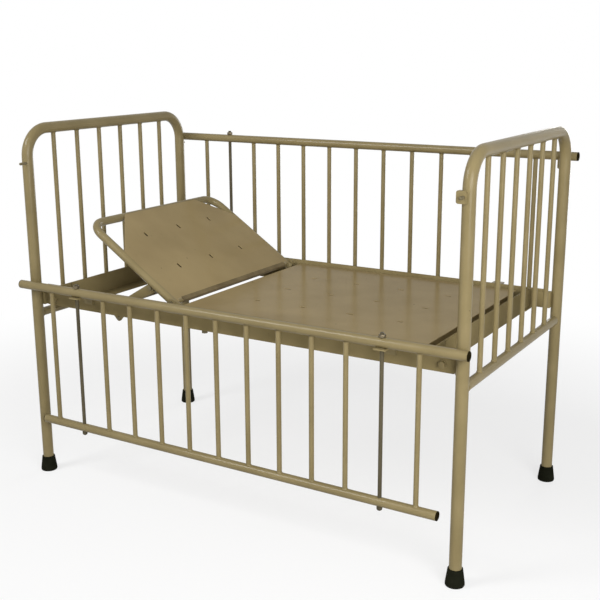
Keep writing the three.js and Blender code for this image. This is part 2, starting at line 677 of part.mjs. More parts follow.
function hexShape(acrossFlats, holeD) {
  const corner = acrossFlats / 2 / Math.cos(Math.PI / 6);
  const points = Array.from({ length: 6 }, (_, i) => (i * Math.PI) / 3);
  const shape = polygon(points.map((angle) => [corner * Math.cos(angle), corner * Math.sin(angle)]));
  const hole = new THREE.Path();
  hole.absarc(0, 0, holeD / 2, 0, 2 * Math.PI, true);
  shape.holes.push(hole);
  return shape;
}

function addPlug(group, name, end, railD, endX, z) {
  const boreR = railD / 2 - RAIL_WALL - SEAT_GAP;
  const cap = SEAT_GAP + PLUG_CAP_T;
  const profile = [
    [0, -PLUG_SPIGOT_L],
    [boreR, -PLUG_SPIGOT_L],
    [boreR, SEAT_GAP],
    [railD / 2, SEAT_GAP],
    [railD / 2, cap - PLUG_EDGE],
    [railD / 2 - PLUG_EDGE, cap],
    [0, cap],
  ];
  const plug = turned(profile, TUBE_SIDES, ALONG_X, [0, 0, 0]);
  if (end < 0) plug.rotateZ(Math.PI);
  addPiece(group, name, plug.translate(end * endX, 0, z), PLUG_BLACK);
}

function addSide(name, side, railZ) {
  const group = new THREE.Group();
  group.position.set(0, side * sidePlaneY, railZ);
  cot.add(group);

  const capL = 2 * (PLUG_CAP_T + SEAT_GAP);
  const topL = RAIL_L - capL;
  const lowerL = LOWER_RAIL_L - capL;
  const rodHoleD = ROD_D + 2 * SEAT_GAP;
  const rodHoles = [-rodX, rodX].map((x) => roundBar(rodHoleD, 4 * SIDE_H, ALONG_Z, [x, 0, 0]));
  const topRail = straightTube(RAIL_D, RAIL_WALL, topL, ALONG_X, [0, 0, 0]);
  addPiece(group, `${name}_top_rail`, carve([topRail], rodHoles), ENAMEL);

  const lowerRail = straightTube(LOWER_RAIL_D, RAIL_WALL, lowerL, ALONG_X, [0, 0, -SIDE_H]);
  const barFoot = -SIDE_H + lowerRailR / 2;
  const bars = [];
  spread(SIDE_PLACES, SIDE_BAR_PITCH).forEach((x, place) => {
    const fromEnd = Math.min(place, SIDE_PLACES - 1 - place);
    if (fromEnd === ROD_PLACE_FROM_END) return;
    bars.push(roundBar(SIDE_BAR_D, -barFoot, ALONG_Z, [x, 0, barFoot / 2]));
  });
  const cope = roundBar(RAIL_D + 2 * SEAT_GAP, RAIL_L, ALONG_X, [0, 0, 0], TUBE_SIDES);
  addPiece(group, `${name}_grille`, carve([lowerRail, ...bars], [cope, ...rodHoles]), ENAMEL);

  const headTop = -SIDE_H - lowerRailR - SEAT_GAP;
  const headFoot = headTop - ROD_HEAD_H;
  const rodProfile = [
    [0, headFoot],
    [ROD_HEAD_D / 4, headFoot],
    [ROD_HEAD_D / 2, headFoot + ROD_HEAD_H / 2],
    [ROD_HEAD_D / 2, headTop],
    [ROD_D / 2, headTop],
    [ROD_D / 2, railR + ROD_THREAD],
    [0, railR + ROD_THREAD],
  ];
  for (const [end, x] of [['head', -rodX], ['foot', rodX]]) {
    addPiece(group, `${name}_${end}_rod`, turned(rodProfile, BAR_SIDES, ALONG_Z, [x, 0, 0]), STEEL);
    const nut = prism(hexShape(NUT_AF, rodHoleD), NUT_H, ALONG_Z, [x, 0, railR + SEAT_GAP], BAR_SIDES / 2);
    addPiece(group, `${name}_${end}_nut`, nut, PLATED);
  }
  for (const [end, sign] of [['head', -1], ['foot', 1]]) {
    addPlug(group, `${name}_${end}_top_plug`, sign, RAIL_D, topL / 2, 0);
    addPlug(group, `${name}_${end}_lower_plug`, sign, LOWER_RAIL_D, lowerL / 2, -SIDE_H);
  }
}

addSide('near_side', -1, RAIL_LOW_Z);
addSide('far_side', 1, RAIL_LOW_Z + SIDE_TRAVEL);

// Guide tabs: brackets on the side angles with a hole for each rod
function addGuideTab(name, x, side) {
  const rootY = angleOuterY + SEAT_GAP;
  const legSpan = mirroredSpan(side, rootY, rootY + TAB_T);
  const armSpan = mirroredSpan(side, rootY, sidePlaneY + TAB_MARGIN);
  const x0 = x - TAB_W / 2;
  const x1 = x + TAB_W / 2;
  const leg = block([x0, legSpan[0], tabTopZ - TAB_LEG_H], [x1, legSpan[1], tabTopZ]);
  const arm = block([x0, armSpan[0], tabTopZ - TAB_T], [x1, armSpan[1], tabTopZ]);
  const hole = roundBar(ROD_D + 2 * ROD_GUIDE_PLAY, 4 * TAB_T, ALONG_Z,
    [x, side * sidePlaneY, tabTopZ], TUBE_SIDES);
  addPiece(cot, name, carve([leg, arm], [hole]), ENAMEL);
}

for (const [corner, end, side] of CORNERS) addGuideTab(`${corner}_guide_tab`, end * rodX, side);

// Catches: a pin that slides through each post, standing out on the lowered side and drawn in
// on the raised one, and a saddle plate round the outer face of each foot post
function addCatchPlate(corner, end, side) {
  const [x0, x1] = mirroredSpan(end, postX - CATCH_INBOARD, postX - CATCH_INBOARD + CATCH_W);
  const outline = roundedRectangle(x0, catchZ - CATCH_H / 2, x1, catchZ + CATCH_H / 2, CATCH_CORNER_R);
  const span = mirroredSpan(side, postY + endTubeR / 2, postY + endTubeR + SEAT_GAP + CATCH_T);
  const post = roundBar(END_TUBE_D + 2 * SEAT_GAP, 2 * CATCH_H, ALONG_Z,
    [end * postX, side * postY, catchZ], TUBE_SIDES);
  const hole = roundBar(CATCH_PIN_D + 2 * PIN_PLAY, END_TUBE_D, ALONG_Y,
    [end * (postX - CATCH_PIN_INBOARD), side * (postY + endTubeR), catchZ]);
  addPiece(cot, `${corner}_catch_plate`, carve([uprightPlate(outline, ...span)], [post, hole]), ENAMEL);
}

function addCatchPin(corner, end, side) {
  const tip = endTubeR + CATCH_PIN_SHOW;
  const profile = [
    [0, -CATCH_PIN_TAIL],
    [CATCH_PIN_D / 2, -CATCH_PIN_TAIL],
    [CATCH_PIN_D / 2, tip - CATCH_PIN_DOME],
    [CATCH_PIN_D / 4, tip],
    [0, tip],
  ];
  const pin = turned(profile, BAR_SIDES, ALONG_Y, [0, 0, 0]);
  if (side > 0) pin.rotateX(Math.PI);
  const out = side < 0 ? CATCH_PIN_TRAVEL : 0;
  const place = [end * (postX - CATCH_PIN_INBOARD), side * (postY + out), catchZ];
  addPiece(cot, `${corner}_catch_pin`, pin.translate(...place), STEEL);
}

for (const [corner, end, side] of CORNERS) {
  if (end > 0) addCatchPlate(corner, end, side);
  addCatchPin(corner, end, side);
}

export default cot;
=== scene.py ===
import json
import math

import bmesh
import bpy
from mathutils import Matrix, Vector


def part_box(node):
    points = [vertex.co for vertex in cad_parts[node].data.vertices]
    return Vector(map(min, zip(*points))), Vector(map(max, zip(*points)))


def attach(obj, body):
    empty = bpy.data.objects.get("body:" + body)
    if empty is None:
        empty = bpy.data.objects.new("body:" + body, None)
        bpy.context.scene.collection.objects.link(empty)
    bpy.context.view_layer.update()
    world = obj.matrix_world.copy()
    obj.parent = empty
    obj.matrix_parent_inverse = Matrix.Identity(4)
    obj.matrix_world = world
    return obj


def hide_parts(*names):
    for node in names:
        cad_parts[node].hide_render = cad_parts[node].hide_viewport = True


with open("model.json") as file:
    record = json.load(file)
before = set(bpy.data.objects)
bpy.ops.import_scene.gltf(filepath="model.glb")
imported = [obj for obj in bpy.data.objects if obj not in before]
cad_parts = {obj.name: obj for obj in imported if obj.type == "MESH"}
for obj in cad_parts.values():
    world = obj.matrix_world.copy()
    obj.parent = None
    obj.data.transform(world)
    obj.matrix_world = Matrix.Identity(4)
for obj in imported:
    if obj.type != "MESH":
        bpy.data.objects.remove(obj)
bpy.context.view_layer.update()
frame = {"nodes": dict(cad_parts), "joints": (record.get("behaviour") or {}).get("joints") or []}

# End frames: each is one length of round steel tube bent twice into an arch, so that its two
# ends are the legs. Stove-enamelled in one khaki coat with the rest of the welded frame.
X, Y, Z = Vector((1, 0, 0)), Vector((0, 1, 0)), Vector((0, 0, 1))
ENAMEL_COLOR = (0.240, 0.191, 0.092)
ENAMEL_DARK = (0.202, 0.159, 0.073)
ENAMEL_WORN = (0.120, 0.092, 0.046)
DRIFT_DETAIL, DRIFT_LOW, DRIFT_HIGH = 6, 0.32, 0.64
GLOSS_LESS, GLOSS_MORE = 0.07, 0.09
SKIN_SCALE, SKIN_DETAIL, SKIN_DEPTH = 420, 2, 0.0006
CHIP_SCALE, CHIP_DETAIL, CHIP_RAGGED, CHIP_EDGE = 62, 9, 0.62, 0.03
END_BEND_R = 0.080
BEND_STEPS = 14
TUBE_SIDES = 40
SHARP_EDGE = math.radians(38)
SAME_POINT = 1e-6


def mottled_finish(name, low, high, scale, roughness, peel, metallic=0.0, grain=(1, 1, 1)):
    """A shader whose colour and gloss drift a little over the surface, with a fine uneven skin."""
    material = bpy.data.materials.new(name)
    material.use_nodes = True
    nodes, links = material.node_tree.nodes, material.node_tree.links
    shader = nodes["Principled BSDF"]
    shader.inputs["Metallic"].default_value = metallic
    place = nodes.new("ShaderNodeTexCoord")
    mapping = nodes.new("ShaderNodeMapping")
    mapping.inputs["Scale"].default_value = grain
    links.new(place.outputs["Object"], mapping.inputs["Vector"])
    drift = nodes.new("ShaderNodeTexNoise")
    drift.inputs["Scale"].default_value = scale
    drift.inputs["Detail"].default_value = DRIFT_DETAIL
    links.new(mapping.outputs["Vector"], drift.inputs["Vector"])
    tint = nodes.new("ShaderNodeValToRGB")
    tint.color_ramp.elements[0].position = DRIFT_LOW
    tint.color_ramp.elements[0].color = (*low, 1)
    tint.color_ramp.elements[1].position = DRIFT_HIGH
    tint.color_ramp.elements[1].color = (*high, 1)
    links.new(drift.outputs["Fac"], tint.inputs["Fac"])
    links.new(tint.outputs["Color"], shader.inputs["Base Color"])
    gloss = nodes.new("ShaderNodeMapRange")
    gloss.inputs["To Min"].default_value = roughness - GLOSS_LESS
    gloss.inputs["To Max"].default_value = roughness + GLOSS_MORE
    links.new(drift.outputs["Fac"], gloss.inputs["Value"])
    links.new(gloss.outputs["Result"], shader.inputs["Roughness"])
    skin = nodes.new("ShaderNodeTexNoise")
    skin.inputs["Scale"].default_value = SKIN_SCALE
    skin.inputs["Detail"].default_value = SKIN_DETAIL
    links.new(mapping.outputs["Vector"], skin.inputs["Vector"])
    bump = nodes.new("ShaderNodeBump")
    bump.inputs["Strength"].default_value = peel
    bump.inputs["Distance"].default_value = SKIN_DEPTH
    links.new(skin.outputs["Fac"], bump.inputs["Height"])
    links.new(bump.outputs["Normal"], shader.inputs["Normal"])
    return material


def chipped(material, worn, above):
    """Adds small chips and rubbed spots, where a noise runs above a level."""
    nodes, links = material.node_tree.nodes, material.node_tree.links
    shader = nodes["Principled BSDF"]
    place = next(node for node in nodes if node.type == "TEX_COORD")
    spots = nodes.new("ShaderNodeTexNoise")
    spots.inputs["Scale"].default_value = CHIP_SCALE
    spots.inputs["Detail"].default_value = CHIP_DETAIL
    spots.inputs["Roughness"].default_value = CHIP_RAGGED
    links.new(place.outputs["Object"], spots.inputs["Vector"])
    edge = nodes.new("ShaderNodeMapRange")
    edge.inputs["From Min"].default_value = above
    edge.inputs["From Max"].default_value = above + CHIP_EDGE
    links.new(spots.outputs["Fac"], edge.inputs["Value"])
    mix = nodes.new("ShaderNodeMix")
    mix.data_type = "RGBA"
    mix.inputs["B"].default_value = (*worn, 1)
    sound = shader.inputs["Base Color"].links[0].from_socket
    links.new(edge.outputs["Result"], mix.inputs["Factor"])
    links.new(sound, mix.inputs["A"])
    links.new(mix.outputs["Result"], shader.inputs["Base Color"])


def glaze(material, specular, coat=0.0, coat_roughness=0.1):
    """Sets how strongly a finish mirrors, and the clear gloss over it."""
    shader = material.node_tree.nodes["Principled BSDF"]
    shader.inputs["Specular IOR Level"].default_value = specular
    shader.inputs["Coat Weight"].default_value = coat
    shader.inputs["Coat Roughness"].default_value = coat_roughness


enamel = mottled_finish("enamel", ENAMEL_DARK, ENAMEL_COLOR, scale=9, roughness=0.33, peel=0.16)
chipped(enamel, ENAMEL_WORN, above=0.70)
glaze(enamel, specular=0.06, coat=0.23, coat_roughness=0.14)


def span(node):
    """A node's lowest and highest corners as vectors."""
    low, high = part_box(node)
    return Vector(low), Vector(high)


def finish_piece(bm, name, body, material, slot, *nodes):
    """Turns a bmesh into a piece that rides on a body and stands for the given nodes."""
    bmesh.ops.remove_doubles(bm, verts=bm.verts, dist=SAME_POINT)
    bmesh.ops.recalc_face_normals(bm, faces=bm.faces)
    mesh = bpy.data.meshes.new(name)
    bm.to_mesh(mesh)
    bm.free()
    mesh.polygons.foreach_set("use_smooth", [True] * len(mesh.polygons))
    mesh.set_sharp_from_angle(angle=SHARP_EDGE)
    mesh.materials.append(material)
    piece = bpy.data.objects.new(name, mesh)
    bpy.context.collection.objects.link(piece)
    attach(piece, body)
    if nodes:
        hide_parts(*nodes)


def facing(direction, at):
    """A matrix that turns +Z to a direction and moves to a place."""
    return Matrix.Translation(at) @ Z.rotation_difference(direction).to_matrix().to_4x4()


def tube_start(bm, at, direction, radius, sides=TUBE_SIDES):
    """Lays the first ring of a tube and returns its edges."""
    made = bmesh.ops.create_circle(bm, radius=radius, segments=sides, matrix=facing(direction, at))
    return list({edge for vert in made["verts"] for edge in vert.link_edges})


def tube_run(bm, ring, along):
    """Draws a straight length from a ring and returns the ring at its end."""
    made = bmesh.ops.extrude_edge_only(bm, edges=ring)["geom"]
    verts = [item for item in made if isinstance(item, bmesh.types.BMVert)]
    bmesh.ops.translate(bm, verts=verts, vec=along)
    fresh = set(verts)
    edges = [item for item in made if isinstance(item, bmesh.types.BMEdge)]
    return [edge for edge in edges if set(edge.verts) <= fresh]


def tube_bend(bm, ring, centre, axis, angle):
    """Bends a length of tube on from a ring and returns the ring at its end."""
    made = bmesh.ops.spin(bm, geom=ring, cent=centre, axis=axis, angle=angle, steps=BEND_STEPS)
    return [item for item in made["geom_last"] if isinstance(item, bmesh.types.BMEdge)]


def close_ends(bm):
    """Closes every open ring."""
    bmesh.ops.holes_fill(bm, edges=bm.edges, sides=0)


# Both arches have the same sizes, so tube_r, post_y and top_z also serve the pieces below.
for end_name in ("head", "foot"):
    low, high = span(f"{end_name}_end_tube")
    tube_r = (high.x - low.x) / 2
    post_y, top_z = high.y - tube_r, high.z - tube_r
    axis_x = (low.x + high.x) / 2
    bm = bmesh.new()
    ring = tube_start(bm, Vector((axis_x, -post_y, low.z)), Z, tube_r)
    ring = tube_run(bm, ring, Z * (top_z - END_BEND_R - low.z))
    centre = Vector((axis_x, -post_y + END_BEND_R, top_z - END_BEND_R))
    ring = tube_bend(bm, ring, centre, X, -math.pi / 2)
    ring = tube_run(bm, ring, Y * 2 * (post_y - END_BEND_R))
    centre.y = post_y - END_BEND_R
    ring = tube_bend(bm, ring, centre, X, -math.pi / 2)
    tube_run(bm, ring, -Z * (top_z - END_BEND_R - low.z))
    close_ends(bm)
    finish_piece(bm, f"{end_name}_arch", "bed", enamel, "enamel", f"{end_name}_end_tube")

# End grilles: a cross tube between the legs and round bars welded between it and the arch.
# Every joint has a small weld bead that the enamel runs over.
END_BAR_R = 0.0067
END_BAR_PITCH = 0.099
END_BAR_COUNT = 6
BAR_SIDES = 20
BEAD, BEAD_SKIRT = 0.0011, 1.6
BEAD_STEPS = ((1.2, 1.0), (0.9, 0.35), (0.8, -0.1))


def round_bar(bm, foot, head, radius, sides=BAR_SIDES):
    """A closed round bar between two points."""
    along = head - foot
    place = facing(along.normalized(), (foot + head) / 2)
    bmesh.ops.create_cone(bm, cap_ends=True, segments=sides, radius1=radius, radius2=radius,
                          depth=along.length, matrix=place)


def resize_ring(bm, ring, radius):
    """Brings a ring to a radius about its middle."""
    verts = list({vert for edge in ring for vert in edge.verts})
    middle = sum((vert.co for vert in verts), Vector()) / len(verts)
    share = radius / (verts[0].co - middle).length
    about_middle = Matrix.Translation(-middle)
    bmesh.ops.scale(bm, verts=verts, vec=(share, share, share), space=about_middle)


def weld_bead(bm, at, away, radius):
    """A short flared collar where a bar or tube meets the tube it is welded to."""
    ring = tube_start(bm, at - away * BEAD, away, radius + BEAD_SKIRT * BEAD, BAR_SIDES)
    for reach, grow in BEAD_STEPS:
        ring = tube_run(bm, ring, away * BEAD * reach)
        resize_ring(bm, ring, radius + grow * BEAD)


for end_name in ("head", "foot"):
    low, high = span(f"{end_name}_end_grille")
    cross_r = (high.x - low.x) / 2
    cross_z = low.z + cross_r
    axis_x = (low.x + high.x) / 2
    bm = bmesh.new()
    near_end, far_end = Vector((axis_x, low.y, cross_z)), Vector((axis_x, high.y, cross_z))
    round_bar(bm, near_end, far_end, cross_r, TUBE_SIDES)
    for side in (-1, 1):
        at = Vector((axis_x, side * (post_y - tube_r), cross_z))
        weld_bead(bm, at, -side * Y, cross_r)
    for place in range(END_BAR_COUNT):
        y = (place - (END_BAR_COUNT - 1) / 2) * END_BAR_PITCH
        foot, head = Vector((axis_x, y, cross_z)), Vector((axis_x, y, top_z - tube_r))
        round_bar(bm, foot, head, END_BAR_R)
        weld_bead(bm, Vector((axis_x, y, cross_z + cross_r)), Z, END_BAR_R)
        weld_bead(bm, head, -Z, END_BAR_R)
    close_ends(bm)
    finish_piece(bm, f"{end_name}_bars", "bed", enamel, "enamel", f"{end_name}_end_grille")

# Feet: moulded black rubber boots pushed over the leg ends, straight-sided at the floor and
# tapering to a thin rim. They are not fastened; the rubber grips the tube.
CORNERS = ("head_near", "head_far", "foot_near", "foot_far")
RUBBER_LOW, RUBBER_HIGH = (0.0075, 0.0080, 0.0045), (0.0125, 0.0130, 0.0078)
FOOT_STEPS = 48
FOOT_RIM_R, FOOT_BASE_H, FOOT_MOUTH_DEPTH = 0.01925, 0.010, 0.006
FOOT_EDGE, FOOT_EDGE_MID, FOOT_SHOULDER, FOOT_RIM_EDGE = 0.003, 0.0009, 0.00036, 0.0012
rubber = mottled_finish("rubber", RUBBER_LOW, RUBBER_HIGH, scale=34, roughness=0.78, peel=0.3)
glaze(rubber, specular=0.02)


def turned_piece(bm, profile, at, direction, steps=FOOT_STEPS):
    """Spins radius and height pairs round an axis."""
    verts = [bm.verts.new((radius, 0, height)) for radius, height in profile]
    edges = [bm.edges.new(pair) for pair in zip(verts, verts[1:])]
    made = bmesh.ops.spin(bm, geom=verts + edges, cent=(0, 0, 0), axis=Z, angle=2 * math.pi,
                          steps=steps, use_merge=True)
    fresh = {vert for vert in verts if vert.is_valid}
    fresh |= {item for item in made["geom_last"] if isinstance(item, bmesh.types.BMVert)}
    grown = set(fresh)
    while fresh:
        fresh = {edge.other_vert(vert) for vert in fresh for edge in vert.link_edges} - grown
        grown |= fresh
    bmesh.ops.transform(bm, matrix=facing(direction, at), verts=list(grown))


for corner in CORNERS:
    low, high = span(f"{corner}_foot")
    base_r, tall = (high.x - low.x) / 2, high.z - low.z
    profile = [
        (0, 0), (base_r - FOOT_EDGE, 0), (base_r - FOOT_EDGE_MID, FOOT_EDGE_MID),
        (base_r, FOOT_EDGE), (base_r, FOOT_BASE_H - FOOT_EDGE),
        (base_r - FOOT_SHOULDER, FOOT_BASE_H), (FOOT_RIM_R, tall - FOOT_RIM_EDGE),
        (FOOT_RIM_R - FOOT_SHOULDER, tall - FOOT_SHOULDER), (FOOT_RIM_R - FOOT_RIM_EDGE, tall),
        (tube_r, tall), (tube_r, tall - FOOT_MOUTH_DEPTH), (0, tall - FOOT_MOUTH_DEPTH),
    ]
    at = Vector(((low.x + high.x) / 2, (low.y + high.y) / 2, low.z))
    bm = bmesh.new()
    turned_piece(bm, profile, at, Z)
    finish_piece(bm, f"{corner}_ferrule", "bed", rubber, "rubber", f"{corner}_foot")

# Bed frame: rolled steel angle, with the upright leg outside and the flat leg inside at the
# bottom. The side angles' flat legs stop at the end angles, their upright legs run on to the
# corner brackets, the far one cut back below at the foot, and a small pointed lug hangs from each.
ANGLE_T = 0.005
ANGLE_FLANGE = 0.048
ANGLE_END_R, ANGLE_END_STEPS = 0.008, 6
FLANGE_END_X, COPE = 0.612, 0.0095
SHELF_ROOT, SHELF_LIFT, TONGUE_LIFT = 0.003, 0.0003, 0.0055
LUG_X, LUG_W, LUG_DROP = -0.378, 0.034, 0.014
LUG_NOSE, LUG_TIP, LUG_TIP_RISE = 0.005, 0.002, 0.0015
ROLLED_EDGE, SAWN_EDGE = 0.0012, 0.00072
PARALLEL = 0.999
iron_enamel = mottled_finish("iron_enamel", ENAMEL_DARK, ENAMEL_COLOR, scale=9, roughness=0.5,
                             peel=0.3)
chipped(iron_enamel, ENAMEL_WORN, above=0.69)
glaze(iron_enamel, specular=0.0, coat=0.05, coat_roughness=0.3)


def prism(bm, outline, along):
    """Extrudes a closed outline; returns all its vertices."""
    verts = [bm.verts.new(point) for point in outline]
    face = bm.faces.new(verts)
    made = bmesh.ops.extrude_face_region(bm, geom=[face])["geom"]
    moved = [item for item in made if isinstance(item, bmesh.types.BMVert)]
    bmesh.ops.translate(bm, verts=moved, vec=along)
    return verts + moved


def bevel_edges(bm, edges, width, segments):
    """Rounds some edges."""
    bmesh.ops.bevel(bm, geom=edges, offset=width, offset_type="OFFSET", affect="EDGES",
                    segments=segments, profile=0.5, material=-1, clamp_overlap=True)


def soften(bm, verts, width, segments=2, leave=None):
    """Rounds the edges among some vertices, but for those that run along one direction."""
    chosen = set(verts)
    edges = [edge for edge in bm.edges if edge.verts[0] in chosen and edge.verts[1] in chosen]
    if leave is not None:
        ways = [(edge.verts[1].co - edge.verts[0].co).normalized() for edge in edges]
        edges = [edge for edge, way in zip(edges, ways) if abs(way.dot(leave)) < PARALLEL]
    bevel_edges(bm, edges, width, segments)


def arc(middle_x, middle_z, radius, start, turn=math.pi / 2, steps=ANGLE_END_STEPS):
    """Points on a circle, anticlockwise from a start angle."""
    angles = [start + turn * step / steps for step in range(steps + 1)]
    return [(middle_x + radius * math.cos(angle), middle_z + radius * math.sin(angle))
            for angle in angles]


def outer(low, high, way):
    """The corner of a box on the negative or the positive side."""
    return low if way < 0 else high


for side_name, side in (("near", -1), ("far", 1)):
    low, high = span(f"{side_name}_side_angle")
    outer_y = outer(low, high, side).y
    bottom = low.z + LUG_DROP
    left, right = low.x + ANGLE_END_R, high.x - ANGLE_END_R
    top_corner, low_corner = high.z - ANGLE_END_R, bottom + ANGLE_END_R
    outline = arc(left, low_corner, ANGLE_END_R, math.pi)
    outline += [(LUG_X - LUG_W / 2, bottom), (LUG_X - LUG_NOSE, low.z + LUG_TIP_RISE),
                (LUG_X - LUG_TIP, low.z), (LUG_X + LUG_TIP, low.z),
                (LUG_X + LUG_NOSE, low.z + LUG_TIP_RISE), (LUG_X + LUG_W / 2, bottom)]
    if side > 0:
        outline += [(FLANGE_END_X, bottom), (FLANGE_END_X + COPE / 2, bottom + COPE)]
        outline += arc(right, low_corner + COPE, ANGLE_END_R, 1.5 * math.pi)
    else:
        outline += arc(right, low_corner, ANGLE_END_R, 1.5 * math.pi)
    outline += arc(right, top_corner, ANGLE_END_R, 0)
    outline += arc(left, top_corner, ANGLE_END_R, math.pi / 2)
    bm = bmesh.new()
    verts = prism(bm, [(x, outer_y, z) for x, z in outline], -side * Y * ANGLE_T)
    soften(bm, verts, SAWN_EDGE, leave=Y)
    root_y, lip_y = outer_y - side * SHELF_ROOT, outer_y - side * ANGLE_FLANGE
    shelf = [(root_y, bottom + SHELF_LIFT), (root_y, bottom + ANGLE_T),
             (lip_y, bottom + ANGLE_T), (lip_y, bottom + SHELF_LIFT)]
    verts = prism(bm, [(-FLANGE_END_X, y, z) for y, z in shelf], X * 2 * FLANGE_END_X)
    soften(bm, verts, ROLLED_EDGE)
    finish_piece(bm, f"{side_name}_side_iron", "bed", iron_enamel, "enamel",
                 f"{side_name}_side_angle")

for end_name, end in (("head", -1), ("foot", 1)):
    low, high = span(f"{end_name}_end_angle")
    outer_x = outer(low, high, end).x
    inner_x, lip_x = outer_x - end * ANGLE_T, outer_x - end * ANGLE_FLANGE
    inset = ANGLE_FLANGE - ANGLE_T
    section = [(outer_x, low.z), (outer_x, high.z), (inner_x, high.z),
               (inner_x, low.z + ANGLE_T), (lip_x, low.z + ANGLE_T), (lip_x, low.z)]
    tongue = [(outer_x, low.z + TONGUE_LIFT), (outer_x, high.z), (inner_x, high.z),
              (inner_x, low.z + TONGUE_LIFT)]
    bm = bmesh.new()
    long_way = Y * (high.y - low.y - 2 * inset)
    verts = prism(bm, [(x, low.y + inset, z) for x, z in section], long_way)
    soften(bm, verts, ROLLED_EDGE)
    for edge_y, way in ((low.y, 1), (high.y, -1)):
        verts = prism(bm, [(x, edge_y, z) for x, z in tongue], Y * way * (inset + ANGLE_T))
        soften(bm, verts, ROLLED_EDGE)
    finish_piece(bm, f"{end_name}_end_iron", "bed", iron_enamel, "enamel",
                 f"{end_name}_end_angle")

# Corner brackets: flat steel joggled outwards at one end, welded there to the post and bolted at
# the other end to the side angle. The near ones reach down to the angle's lower edge at the post.
BRACKET_T, PAD_IN, PAD_OUT, PAD_DROP = 0.005, 0.6593, 0.6705, 0.0092
PAD_LAP, PAD_SINK, PAD_EDGE, PAD_EDGE_STEPS = 0.002, 0.0004, 0.0024, 3


def corner_ways(corner):
    """The signs of a corner's place along X and Y."""
    return (-1 if corner.startswith("head") else 1), (-1 if corner.endswith("near") else 1)


for corner in CORNERS:
    end, side = corner_ways(corner)
    low, high = span(f"{corner}_bracket")
    inner_x, inner_y = outer(low, high, -end).x, outer(low, high, -side).y
    outer_y = outer(low, high, side).y
    plate_x, plate_y = end * (PAD_IN + PAD_LAP), inner_y + side * BRACKET_T
    pad_y = inner_y - side * PAD_SINK
    plate = [(inner_x, inner_y), (plate_x, inner_y), (plate_x, plate_y), (inner_x, plate_y)]
    pad = [(end * PAD_IN, pad_y), (end * PAD_OUT, pad_y), (end * PAD_OUT, outer_y),
           (end * PAD_IN, outer_y)]
    drop = PAD_DROP if side < 0 else 0
    bm = bmesh.new()
    verts = prism(bm, [(x, y, low.z) for x, y in plate], Z * (high.z - low.z))
    soften(bm, verts, ROLLED_EDGE)
    verts = prism(bm, [(x, y, low.z - drop) for x, y in pad], Z * (high.z - low.z + drop))
    soften(bm, verts, PAD_EDGE, PAD_EDGE_STEPS)
    finish_piece(bm, f"{corner}_gusset", "bed", iron_enamel, "enamel", f"{corner}_bracket")

# Backrest hinge lugs, ratchets, guide tabs and catch plates: small pieces cut from flat steel,
# welded on and enamelled with the frame.


def coat(material, *nodes):
    """Gives CAD nodes that are shown as they are a finish."""
    for node in nodes:
        for material_slot in frame["nodes"][node].material_slots:
            material_slot.material = material


coat(enamel, *(f"{corner}_guide_tab" for corner in CORNERS))
coat(enamel, "foot_near_catch_plate", "foot_far_catch_plate")
for side_name in ("near", "far"):
    coat(enamel, f"{side_name}_hinge_lug", f"{side_name}_ratchet")

# Bracket bolts: hexagon heads with washers on the outside of the side angles, one to each corner
# bracket, painted over with the frame.
BOLT_AF, BOLT_H, BOLT_X, BOLT_Z = 0.017, 0.007, 0.624, 0.554
WASHER_R, WASHER_T, WASHER_SIDES = 0.0115, 0.0016, 28
HEX_EDGE = 0.0006


def hex_prism(bm, at, direction, across_flats, height):
    """A hexagon with softened edges, standing on a place."""
    corner_r = across_flats / 2 / math.cos(math.pi / 6)
    place = facing(direction, at + direction * height / 2)
    made = bmesh.ops.create_cone(bm, cap_ends=True, segments=6, radius1=corner_r,
                                 radius2=corner_r, depth=height, matrix=place)
    soften(bm, made["verts"], HEX_EDGE)


for corner in CORNERS:
    end, side = corner_ways(corner)
    side_name = corner.split("_")[1]
    low, high = span(f"{side_name}_side_angle")
    at = Vector((end * BOLT_X, outer(low, high, side).y, BOLT_Z))
    out = side * Y
    bm = bmesh.new()
    round_bar(bm, at - out * WASHER_T, at + out * WASHER_T, WASHER_R, WASHER_SIDES)
    hex_prism(bm, at + out * WASHER_T, out, BOLT_AF, BOLT_H)
    finish_piece(bm, f"{corner}_bracket_bolt", "bed", enamel, "enamel")

# Deck and backrest sheets: thin pressed steel, not quite flat, punched with short slots and
# enamelled. The deck is a folded pan; the backrest's lower edge is rolled round the hinge rod.
# Their enamel is the frame's coat made lighter, as painted light on the broad sheets.
# Painted light: these sheet colours are lighter than the frame's enamel, though both are one coat.
SHEET_LIT_LOW, SHEET_LIT_HIGH = (0.285, 0.214, 0.101), (0.328, 0.249, 0.120)
sheet_painted_light = mottled_finish("sheet_painted_light", SHEET_LIT_LOW, SHEET_LIT_HIGH, scale=6, roughness=0.36,
                              peel=0.2)
chipped(sheet_painted_light, ENAMEL_WORN, above=0.69)
glaze(sheet_painted_light, specular=0.0, coat=0.22, coat_roughness=0.19)


def dented(material, scale, depth):
    """Lets a broad unevenness of the metal bend what the gloss mirrors."""
    nodes, links = material.node_tree.nodes, material.node_tree.links
    place = next(node for node in nodes if node.type == "TEX_COORD")
    fine = next(node for node in nodes if node.type == "BUMP")
    swell = nodes.new("ShaderNodeTexNoise")
    swell.inputs["Scale"].default_value = scale
    swell.inputs["Detail"].default_value = 1
    links.new(place.outputs["Object"], swell.inputs["Vector"])
    broad = nodes.new("ShaderNodeBump")
    broad.inputs["Strength"].default_value = 1.0
    broad.inputs["Distance"].default_value = depth
    links.new(swell.outputs["Fac"], broad.inputs["Height"])
    links.new(broad.outputs["Normal"], fine.inputs["Normal"])


dented(sheet_painted_light, scale=7, depth=0.007)
coat(sheet_painted_light, "deck_sheet", "backrest_sheet")
